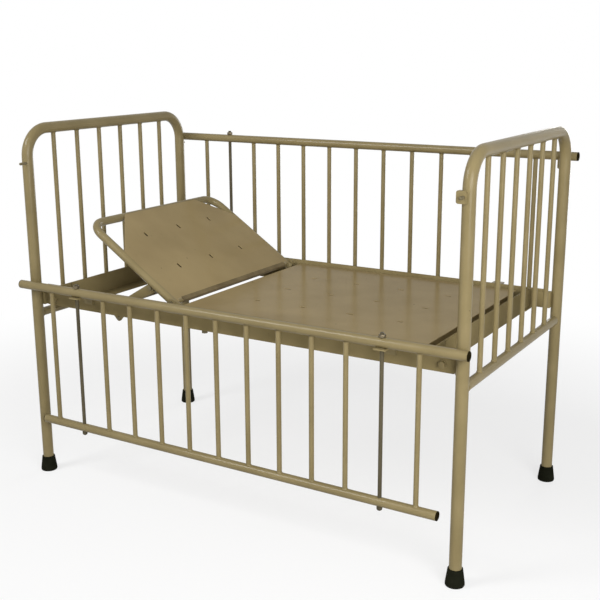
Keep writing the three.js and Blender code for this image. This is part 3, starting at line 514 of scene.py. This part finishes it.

# Slot rims: the punch has drawn the metal of each slot down into a short collar under the sheet,
# which is coloured near black as painted shade inside the slots.
SLOT_HALF, SLOT_R, SLOT_FIT, SLOT_SIDES = 0.006, 0.004, 0.0001, 20
SLOT_WALL, SLOT_DEPTH, SLOT_SINK = 0.001, 0.006, 0.00075
SLOT_ROWS_Y = (-0.158, 0, 0.158)
DECK_SLOTS_X = (0.425, 0.277, 0.129, -0.019)
BACK_SLOTS_X = (-0.114, -0.261)
BACK_REST, BACK_TOP = math.radians(33.8), 0.0068
SLOT_SHADE_LOW, SLOT_SHADE_HIGH = (0.030, 0.023, 0.012), (0.060, 0.047, 0.024)
deck_top = span("deck_sheet")[1].z
hinge = next(joint for joint in frame["joints"] if joint["name"] == "backrest_hinge")
raised = Matrix.Translation(hinge["pos_m"]) @ Matrix.Rotation(BACK_REST, 4, "Y")
# The collar's near-black colours are painted shade for the hollow of each slot.
slot_painted_shade = mottled_finish("slot_painted_shade", SLOT_SHADE_LOW, SLOT_SHADE_HIGH, scale=50, roughness=0.6, peel=0.2)
glaze(slot_painted_shade, specular=0.1)


def slot_rim(bm, at):
    """A collar of the slot's own outline that hangs down from a place."""
    turn = Matrix.Rotation(math.pi / SLOT_SIDES, 4, "Z")
    ring = bmesh.ops.create_circle(bm, radius=SLOT_R + SLOT_FIT, segments=SLOT_SIDES,
                                   matrix=turn)["verts"]
    for way in (-1, 1):
        half = [vert for vert in ring if way * vert.co.x > 0]
        bmesh.ops.translate(bm, verts=half, vec=X * way * SLOT_HALF)
    bmesh.ops.translate(bm, verts=ring, vec=at)
    edges = list({edge for vert in ring for edge in vert.link_edges})
    tube_run(bm, edges, -Z * SLOT_DEPTH)
    wall = list({face for vert in ring for face in vert.link_faces})
    bmesh.ops.recalc_face_normals(bm, faces=wall)
    bmesh.ops.solidify(bm, geom=wall, thickness=-SLOT_WALL)


for body, name, columns, top, place in (
        ("bed", "deck_slot_rims", DECK_SLOTS_X, deck_top, Matrix()),
        ("backrest", "backrest_slot_rims", BACK_SLOTS_X, BACK_TOP, raised)):
    bm = bmesh.new()
    for x in columns:
        for y in SLOT_ROWS_Y:
            slot_rim(bm, Vector((x, y, top - SLOT_SINK)))
    bmesh.ops.transform(bm, matrix=place, verts=bm.verts)
    finish_piece(bm, name, body, slot_painted_shade, "enamel")

# Backrest frame: a slim tube bent into a U with open lower ends, welded under the sheet, and a
# flat eye under each leg for the prop. Modelled flat round the hinge and turned up.
BACK_R, BACK_WALL, BACK_BORE_DEPTH = 0.0120, 0.0015, 0.03
BACK_Y, BACK_Z, BACK_REACH = 0.2982, -0.0046, 0.360
BACK_TAIL, BACK_BEND_R, BACK_TILT = 0.019, 0.050, math.radians(-0.36)
EYE_S, EYE_DROP, EYE_R, EYE_T, EYE_STEPS = 0.088, 0.0216, 0.009, 0.005, 10


def open_end(bm, ring, inward, bore_r, depth):
    """Turns a tube's end in to its bore, so that the open end shows."""
    lip = tube_run(bm, ring, Vector())
    resize_ring(bm, lip, bore_r)
    tube_run(bm, lip, inward * depth)


bm = bmesh.new()
straight = BACK_REACH + BACK_TAIL - BACK_BEND_R
start = tube_start(bm, Vector((BACK_TAIL, -BACK_Y, BACK_Z)), -X, BACK_R)
ring = tube_run(bm, start, -X * straight)
centre = Vector((-BACK_REACH + BACK_BEND_R, -BACK_Y + BACK_BEND_R, BACK_Z))
ring = tube_bend(bm, ring, centre, Z, -math.pi / 2)
ring = tube_run(bm, ring, Y * 2 * (BACK_Y - BACK_BEND_R))
centre.y = BACK_Y - BACK_BEND_R
ring = tube_bend(bm, ring, centre, Z, -math.pi / 2)
ring = tube_run(bm, ring, X * straight)
for end_ring in (start, ring):
    open_end(bm, end_ring, -X, BACK_R - BACK_WALL, BACK_BORE_DEPTH)
close_ends(bm)
lean = Matrix.Rotation(BACK_TILT, 3, "Y")
bmesh.ops.rotate(bm, verts=bm.verts, cent=(0, 0, 0), matrix=lean)
eye_top = BACK_Z - BACK_R + BACK_WALL
outline = arc(-EYE_S, -EYE_DROP, EYE_R, math.pi, math.pi, EYE_STEPS)
outline += [(-EYE_S + EYE_R, eye_top), (-EYE_S - EYE_R, eye_top)]
for side in (-1, 1):
    prism(bm, [(x, side * BACK_Y - EYE_T / 2, z) for x, z in outline], Y * EYE_T)
bmesh.ops.transform(bm, matrix=raised, verts=bm.verts)
finish_piece(bm, "backrest_hoop", "backrest", enamel, "enamel", "backrest_tube")

# Hinge rod and prop bolts: a plain steel rod riveted over at its ends, and hexagon bolts through
# the eyes of the backrest, all of dull bare steel.
STEEL_LOW, STEEL_HIGH = (0.120, 0.100, 0.056), (0.180, 0.152, 0.090)
DRAWN_GRAIN = (1, 1, 0.12)
rod_steel = mottled_finish("rod_steel", STEEL_LOW, STEEL_HIGH, scale=40, roughness=0.42,
                           peel=0.12, metallic=0.12, grain=DRAWN_GRAIN)
glaze(rod_steel, specular=0.1)
coat(rod_steel, "hinge_rod", "near_prop_bolt", "far_prop_bolt")

# Folded hem: the lower edge of the backrest sheet is turned down square and back round the hinge
# rod. It is open at its ends, and its coat is coloured darker than the sheet as painted shade on
# the fold.
HEM_SHADE_LOW, HEM_SHADE_HIGH = (0.140, 0.107, 0.056), (0.195, 0.150, 0.078)
HEM_TOP, HEM_FRONT, HEM_UNDER, HEM_BACK, HEM_CUT = 0.0070, 0.0082, -0.0082, -0.0070, 0.0042
HEM_FOLD, HEM_FOLD_STEPS, HEM_WALL, HEM_BORE, HEM_HALF = 0.0013, 3, 0.0016, 0.02, 0.2695
# The hem's darker colours are painted shade for the fold that faces down; only the chips are wear.
hem_painted_shade = mottled_finish("hem_painted_shade", HEM_SHADE_LOW, HEM_SHADE_HIGH, scale=22, roughness=0.42, peel=0.2)
chipped(hem_painted_shade, ENAMEL_WORN, above=0.62)
glaze(hem_painted_shade, specular=0.0, coat=0.1, coat_roughness=0.2)
section = [(HEM_BACK, HEM_TOP), (HEM_BACK, HEM_UNDER + HEM_CUT), (HEM_BACK + HEM_CUT, HEM_UNDER),
           (HEM_FRONT - HEM_CUT, HEM_UNDER), (HEM_FRONT, HEM_UNDER + HEM_CUT), (HEM_FRONT, HEM_TOP)]
bm = bmesh.new()
prism(bm, [(x, -HEM_HALF, z) for x, z in section], Y * 2 * HEM_HALF)
folds = [edge for edge in bm.edges if abs(edge.verts[0].co.y - edge.verts[1].co.y) > HEM_HALF]
bevel_edges(bm, folds, HEM_FOLD, HEM_FOLD_STEPS)
for way in (-1, 1):
    mouth = [face for face in bm.faces
             if all(way * vert.co.y > HEM_HALF - HEM_WALL for vert in face.verts)]
    bmesh.ops.inset_region(bm, faces=mouth, thickness=HEM_WALL)
    made = bmesh.ops.extrude_face_region(bm, geom=mouth)["geom"]
    floor_verts = [item for item in made if isinstance(item, bmesh.types.BMVert)]
    bmesh.ops.translate(bm, verts=floor_verts, vec=-way * Y * HEM_BORE)
    bmesh.ops.delete(bm, geom=mouth, context="FACES_ONLY")
bmesh.ops.transform(bm, matrix=raised, verts=bm.verts)
finish_piece(bm, "backrest_hem", "backrest", hem_painted_shade, "enamel")

# Hinge sleeves: short tubes on the hinge rod that keep the rolled edge of the backrest between
# the legs of its frame. They turn with the backrest.
SLEEVE_R, SLEEVE_FROM, SLEEVE_L, SLEEVE_EDGE = 0.0080, 0.2717, 0.0166, 0.0006
TURNED_STEPS = 28
for side_name, side in (("near", -1), ("far", 1)):
    profile = [(0, 0), (SLEEVE_R - SLEEVE_EDGE, 0), (SLEEVE_R, SLEEVE_EDGE),
               (SLEEVE_R, SLEEVE_L - SLEEVE_EDGE), (SLEEVE_R - SLEEVE_EDGE, SLEEVE_L),
               (0, SLEEVE_L)]
    at = Vector(hinge["pos_m"]) + side * Y * SLEEVE_FROM
    bm = bmesh.new()
    turned_piece(bm, profile, at, side * Y, TURNED_STEPS)
    finish_piece(bm, f"{side_name}_hinge_sleeve", "backrest", enamel, "enamel")

# Prop: two flat steel struts that taper to the toe, hung on bolts from the eyes of the backrest,
# with a round foot rod riveted across their toes.
STRUT_L, STRUT_EYE_R, STRUT_TOE_R, STRUT_STEPS = 0.134, 0.0155, 0.010, 16
STRUT_IN, STRUT_T, STRUT_EDGE = 0.2815, 0.004, 0.0008
PROP_DROP = math.radians(28.6)
FOOT_ROD_R, FOOT_ROD_HALF = 0.0045, 0.2868
pivot = Matrix.Translation((-EYE_S, 0, -EYE_DROP))
hung = raised @ pivot @ Matrix.Rotation(-BACK_REST - PROP_DROP, 4, "Y")
taper = math.asin((STRUT_EYE_R - STRUT_TOE_R) / STRUT_L)
half_turn = math.pi
outline = arc(0, 0, STRUT_EYE_R, -half_turn / 2 - taper, half_turn + 2 * taper, STRUT_STEPS)
outline += arc(-STRUT_L, 0, STRUT_TOE_R, half_turn / 2 + taper, half_turn - 2 * taper, STRUT_STEPS)
bm = bmesh.new()
for side in (-1, 1):
    verts = prism(bm, [(x, side * STRUT_IN, z) for x, z in outline], side * Y * STRUT_T)
    soften(bm, verts, STRUT_EDGE, leave=Y)
toe = Vector((-STRUT_L, 0, 0))
round_bar(bm, toe - Y * FOOT_ROD_HALF, toe + Y * FOOT_ROD_HALF, FOOT_ROD_R)
bmesh.ops.transform(bm, matrix=hung, verts=bm.verts)
finish_piece(bm, "prop_struts", "prop", enamel, "enamel", "prop_frame")

# Lug rivets and deck nuts: a rivet in each lug of the side angles, and the nut of the bolt that
# holds the deck's lip down to the flat leg. Bare steel gone dark.
RIVET_R, RIVET_H, RIVET_Z, RIVET_SINK, RIVET_STEPS = 0.0058, 0.0030, 0.0085, 0.001, 20
RIVET_DOME = ((1, 0.2), (0.86, 0.6), (0.5, 0.92), (0, 1))
DECK_NUT_X, DECK_NUT_IN, DECK_NUT_AF, DECK_NUT_H = -0.079, 0.010, 0.015, 0.008
for side_name, side in (("near", -1), ("far", 1)):
    low, high = span(f"{side_name}_side_angle")
    outer_y = outer(low, high, side).y
    profile = [(0, -RIVET_SINK), (RIVET_R, -RIVET_SINK)]
    profile += [(wide * RIVET_R, tall * RIVET_H) for wide, tall in RIVET_DOME]
    at = Vector((LUG_X, outer_y, low.z + RIVET_Z))
    nut_at = Vector((DECK_NUT_X, outer_y - side * DECK_NUT_IN, low.z + LUG_DROP))
    bm = bmesh.new()
    turned_piece(bm, profile, at, side * Y, RIVET_STEPS)
    hex_prism(bm, nut_at, -Z, DECK_NUT_AF, DECK_NUT_H)
    finish_piece(bm, f"{side_name}_iron_fixings", "bed", rod_steel, "rod_steel")

# Sliding sides: a top rail and a lower rail of steel tube with round bars welded between them.
# At the second place from each end a loose guide rod takes the bar's place.
LOWER_R = 0.0122
SIDE_BAR_R, SIDE_PITCH, SIDE_PLACES, ROD_PLACES = 0.0067, 0.0978, 13, (1, 11)


def rail(bm, low, high, y, z, radius):
    """A tube along X between the ends of a box."""
    round_bar(bm, Vector((low.x, y, z)), Vector((high.x, y, z)), radius, TUBE_SIDES)


for side_name in ("near_side", "far_side"):
    low, high = span(f"{side_name}_top_rail")
    rail_r = (high.z - low.z) / 2
    rail_y, rail_z = (low.y + high.y) / 2, (low.z + high.z) / 2
    bm = bmesh.new()
    rail(bm, low, high, rail_y, rail_z, rail_r)
    finish_piece(bm, f"{side_name}_hand_rail", side_name, enamel, "enamel",
                 f"{side_name}_top_rail")
    low, high = span(f"{side_name}_grille")
    lower_z = low.z + (high.y - low.y) / 2
    bm = bmesh.new()
    rail(bm, low, high, rail_y, lower_z, LOWER_R)
    for place in range(SIDE_PLACES):
        if place in ROD_PLACES:
            continue
        x = (place - (SIDE_PLACES - 1) / 2) * SIDE_PITCH
        head = Vector((x, rail_y, rail_z - rail_r))
        round_bar(bm, Vector((x, rail_y, lower_z)), head, SIDE_BAR_R)
        weld_bead(bm, Vector((x, rail_y, lower_z + LOWER_R)), Z, SIDE_BAR_R)
        weld_bead(bm, head, -Z, SIDE_BAR_R)
    close_ends(bm)
    finish_piece(bm, f"{side_name}_bars", side_name, enamel, "enamel", f"{side_name}_grille")

# Guide rods: bright-drawn steel given a darker tone than the hinge rod, headed below the lower
# rail, threaded at the top and held by a plated nut on the rail.
GUIDE_LOW, GUIDE_HIGH = (0.066, 0.056, 0.034), (0.112, 0.095, 0.058)
PLATED_LOW, PLATED_HIGH = (0.100, 0.082, 0.052), (0.190, 0.155, 0.098)
ROD_R, ROD_TIP = 0.0052, 0.0012
ROD_HEAD_R, ROD_HEAD_H, ROD_HEAD_DROP, ROD_HEAD_EDGE = 0.0075, 0.013, 0.005, 0.0004
ROD_DOME = ((0, 0), (0.35, 0.0006), (0.72, 0.0022), (0.93, 0.0042), (1, 0.0064))
NUT_AF = 0.016
guide_steel = mottled_finish("guide_steel", GUIDE_LOW, GUIDE_HIGH, scale=40, roughness=0.42,
                             peel=0.12, metallic=0.12, grain=DRAWN_GRAIN)
glaze(guide_steel, specular=0.1)
plated_steel = mottled_finish("plated_steel", PLATED_LOW, PLATED_HIGH, scale=60, roughness=0.38,
                              peel=0.1, metallic=0.5)
glaze(plated_steel, specular=0.2)
for side_name in ("near_side", "far_side"):
    for end_name in ("head", "foot"):
        low, high = span(f"{side_name}_{end_name}_rod")
        tall = high.z - low.z + ROD_HEAD_DROP
        at = Vector(((low.x + high.x) / 2, (low.y + high.y) / 2, low.z - ROD_HEAD_DROP))
        profile = [(wide * ROD_HEAD_R, height) for wide, height in ROD_DOME]
        profile += [(ROD_HEAD_R, ROD_HEAD_H - ROD_HEAD_EDGE),
                    (ROD_HEAD_R - ROD_HEAD_EDGE, ROD_HEAD_H), (ROD_R, ROD_HEAD_H),
                    (ROD_R, tall - ROD_TIP), (ROD_R - ROD_TIP, tall), (0, tall)]
        bm = bmesh.new()
        turned_piece(bm, profile, at, Z, TURNED_STEPS)
        finish_piece(bm, f"{side_name}_{end_name}_guide", side_name, guide_steel, "rod_steel",
                     f"{side_name}_{end_name}_rod")
        low, high = span(f"{side_name}_{end_name}_nut")
        bm = bmesh.new()
        hex_prism(bm, Vector((at.x, at.y, low.z)), Z, NUT_AF, high.z - low.z)
        finish_piece(bm, f"{side_name}_{end_name}_hexagon", side_name, plated_steel,
                     "plated_steel", f"{side_name}_{end_name}_nut")

# End plugs: moulded black plastic caps pushed into the open ends of the rails, as wide as the
# tube, with a rounded rim and a shallow dish.
PLUG_LOW, PLUG_HIGH = (0.010, 0.0075, 0.0030), (0.019, 0.0145, 0.0060)
CAP_T, CAP_RIM, CAP_RIM_MID, CAP_STEPS = 0.002, 0.0009, 0.00027, 36
DISH_DEPTH, DISH_IN, DISH_OUT = 0.0004, 0.6, 0.66
plug_black = mottled_finish("plug_black", PLUG_LOW, PLUG_HIGH, scale=45, roughness=0.58, peel=0.2)
glaze(plug_black, specular=0.0)
for side_name in ("near_side", "far_side"):
    for end_name, end in (("head", -1), ("foot", 1)):
        for level in ("top", "lower"):
            node = f"{side_name}_{end_name}_{level}_plug"
            low, high = span(node)
            cap_r = LOWER_R if level == "lower" else (high.z - low.z) / 2
            face_x = outer(low, high, end).x
            at = Vector((face_x, (low.y + high.y) / 2, (low.z + high.z) / 2))
            profile = [(0, -DISH_DEPTH), (DISH_IN * cap_r, -DISH_DEPTH), (DISH_OUT * cap_r, 0),
                       (cap_r - CAP_RIM, 0), (cap_r - CAP_RIM_MID, -CAP_RIM_MID),
                       (cap_r, -CAP_RIM), (cap_r, -CAP_T), (0, -CAP_T)]
            bm = bmesh.new()
            turned_piece(bm, profile, at, end * X, CAP_STEPS)
            finish_piece(bm, f"{side_name}_{end_name}_{level}_cap", side_name, plug_black,
                         "black_plastic", node)

# Catch pins: round plungers of dull bare steel through each post, at the foot also through its
# catch plate, with a domed tip.
PIN_DOME = ((1, 0.0026), (0.9, 0.0014), (0.6, 0.0004), (0, 0))
for corner in CORNERS:
    side = corner_ways(corner)[1]
    low, high = span(f"{corner}_catch_pin")
    pin_r, pin_l = (high.z - low.z) / 2, high.y - low.y
    at = Vector(((low.x + high.x) / 2, outer(low, high, -side).y, (low.z + high.z) / 2))
    profile = [(0, 0), (pin_r, 0)]
    profile += [(wide * pin_r, pin_l - short) for wide, short in PIN_DOME]
    bm = bmesh.new()
    turned_piece(bm, profile, at, side * Y, TURNED_STEPS)
    finish_piece(bm, f"{corner}_plunger", f"{corner}_pin", rod_steel, "rod_steel",
                 f"{corner}_catch_pin")

# Floor: a pale floor that fades to white round the cot. The camera sees it as white paper with
# the cot's shadow on it.
FLOOR_R, FLOOR_SIDES, FADE_START, FADE_END = 14, 64, 1.0, 2.4
PAPER_COLOR, PAPER_ROUGHNESS, SHADE_COLOR = (0.45, 0.44, 0.42, 1), 0.9, (0.9, 0.9, 0.9, 1)
SEEN_SHADE = 0.30
bm = bmesh.new()
bmesh.ops.create_circle(bm, cap_ends=True, radius=FLOOR_R, segments=FLOOR_SIDES)
mesh = bpy.data.meshes.new("floor")
bm.to_mesh(mesh)
bm.free()
floor = bpy.data.objects.new("floor", mesh)
bpy.context.collection.objects.link(floor)
floor_paper = bpy.data.materials.new("floor_paper")
floor_paper.use_nodes = True
nodes, links = floor_paper.node_tree.nodes, floor_paper.node_tree.links
paper = nodes["Principled BSDF"]
paper.inputs["Base Color"].default_value = PAPER_COLOR
paper.inputs["Roughness"].default_value = PAPER_ROUGHNESS
shade = nodes.new("ShaderNodeBsdfDiffuse")
shade.inputs["Color"].default_value = SHADE_COLOR
glow = nodes.new("ShaderNodeEmission")
glow.inputs["Strength"].default_value = 1.0
near_cot = nodes.new("ShaderNodeMixShader")
place = nodes.new("ShaderNodeTexCoord")
reach = nodes.new("ShaderNodeVectorMath")
reach.operation = "LENGTH"
fade = nodes.new("ShaderNodeMapRange")
fade.interpolation_type = "SMOOTHSTEP"
fade.inputs["From Min"].default_value = FADE_START
fade.inputs["From Max"].default_value = FADE_END
fade.inputs["To Min"].default_value = SEEN_SHADE
fade.inputs["To Max"].default_value = 0.0
links.new(place.outputs["Object"], reach.inputs[0])
links.new(reach.outputs["Value"], fade.inputs["Value"])
links.new(fade.outputs["Result"], near_cot.inputs["Fac"])
links.new(glow.outputs["Emission"], near_cot.inputs[1])
links.new(shade.outputs["BSDF"], near_cot.inputs[2])


def background_rays(nodes, links):
    """1 for the rays that show the background: straight to the eye, mirrored, or through glass."""
    path = nodes.new("ShaderNodeLightPath")
    total = path.outputs["Is Camera Ray"]
    for kind in ("Is Glossy Ray", "Is Transmission Ray"):
        add = nodes.new("ShaderNodeMath")
        add.operation = "MAXIMUM"
        links.new(total, add.inputs[0])
        links.new(path.outputs[kind], add.inputs[1])
        total = add.outputs["Value"]
    return total


seen = nodes.new("ShaderNodeMixShader")
links.new(background_rays(nodes, links), seen.inputs["Fac"])
links.new(paper.outputs["BSDF"], seen.inputs[1])
links.new(near_cot.outputs["Shader"], seen.inputs[2])
links.new(seen.outputs["Shader"], nodes["Material Output"].inputs["Surface"])
mesh.materials.append(floor_paper)

# Light: a white surround that shines only faintly, and four soft studio lamps turned to the bed.
WORLD_LIGHT = 0.22
LAMP_AIM = Vector((0, 0, 0.6))
world = bpy.data.worlds.new("studio")
world.use_nodes = True
bpy.context.scene.world = world
nodes, links = world.node_tree.nodes, world.node_tree.links
soft = nodes["Background"]
soft.inputs["Color"].default_value = (1, 1, 1, 1)
soft.inputs["Strength"].default_value = WORLD_LIGHT
white = nodes.new("ShaderNodeBackground")
white.inputs["Color"].default_value = (1, 1, 1, 1)
white.inputs["Strength"].default_value = 1.0
seen = nodes.new("ShaderNodeMixShader")
links.new(background_rays(nodes, links), seen.inputs["Fac"])
links.new(soft.outputs["Background"], seen.inputs[1])
links.new(white.outputs["Background"], seen.inputs[2])
links.new(seen.outputs["Shader"], nodes["World Output"].inputs["Surface"])


def lamp(name, at, size, power):
    """A square lamp at a place."""
    light = bpy.data.lights.new(name, "AREA")
    light.energy = power
    light.size = size
    lamp_object = bpy.data.objects.new(name, light)
    bpy.context.collection.objects.link(lamp_object)
    at = Vector(at)
    lamp_object.matrix_world = facing((at - LAMP_AIM).normalized(), at)


lamp("front_left", (-1.9, -2.9, 3.3), size=1.5, power=95)
lamp("front_right", (2.7, -3.1, 1.9), size=2.6, power=92)
lamp("foot_side", (2.4, -1.7, 1.3), size=1.5, power=35)
lamp("behind", (0.2, 4.2, 0.9), size=1.6, power=44)

# Camera: placed by fitting the posts and rails of the photograph.
CAMERA_AT = Vector((1.5005, -2.4336, 1.2851))
AZIMUTH, ELEVATION, ROLL = math.radians(31.23), math.radians(14.318), math.radians(-0.2585)
LENS, SENSOR = 59.82, 36
back = Vector((math.sin(AZIMUTH) * math.cos(ELEVATION), -math.cos(AZIMUTH) * math.cos(ELEVATION),
               math.sin(ELEVATION)))
right = Vector((math.cos(AZIMUTH), math.sin(AZIMUTH), 0))
turn = Matrix((right, back.cross(right), back)).transposed() @ Matrix.Rotation(ROLL, 3, "Z")
view = bpy.data.cameras.new("view")
view.lens, view.sensor_width = LENS, SENSOR
camera = bpy.data.objects.new("view", view)
bpy.context.collection.objects.link(camera)
camera.matrix_world = Matrix.Translation(CAMERA_AT) @ turn.to_4x4()
bpy.context.scene.camera = camera
bpy.context.scene.view_settings.view_transform = "Standard"
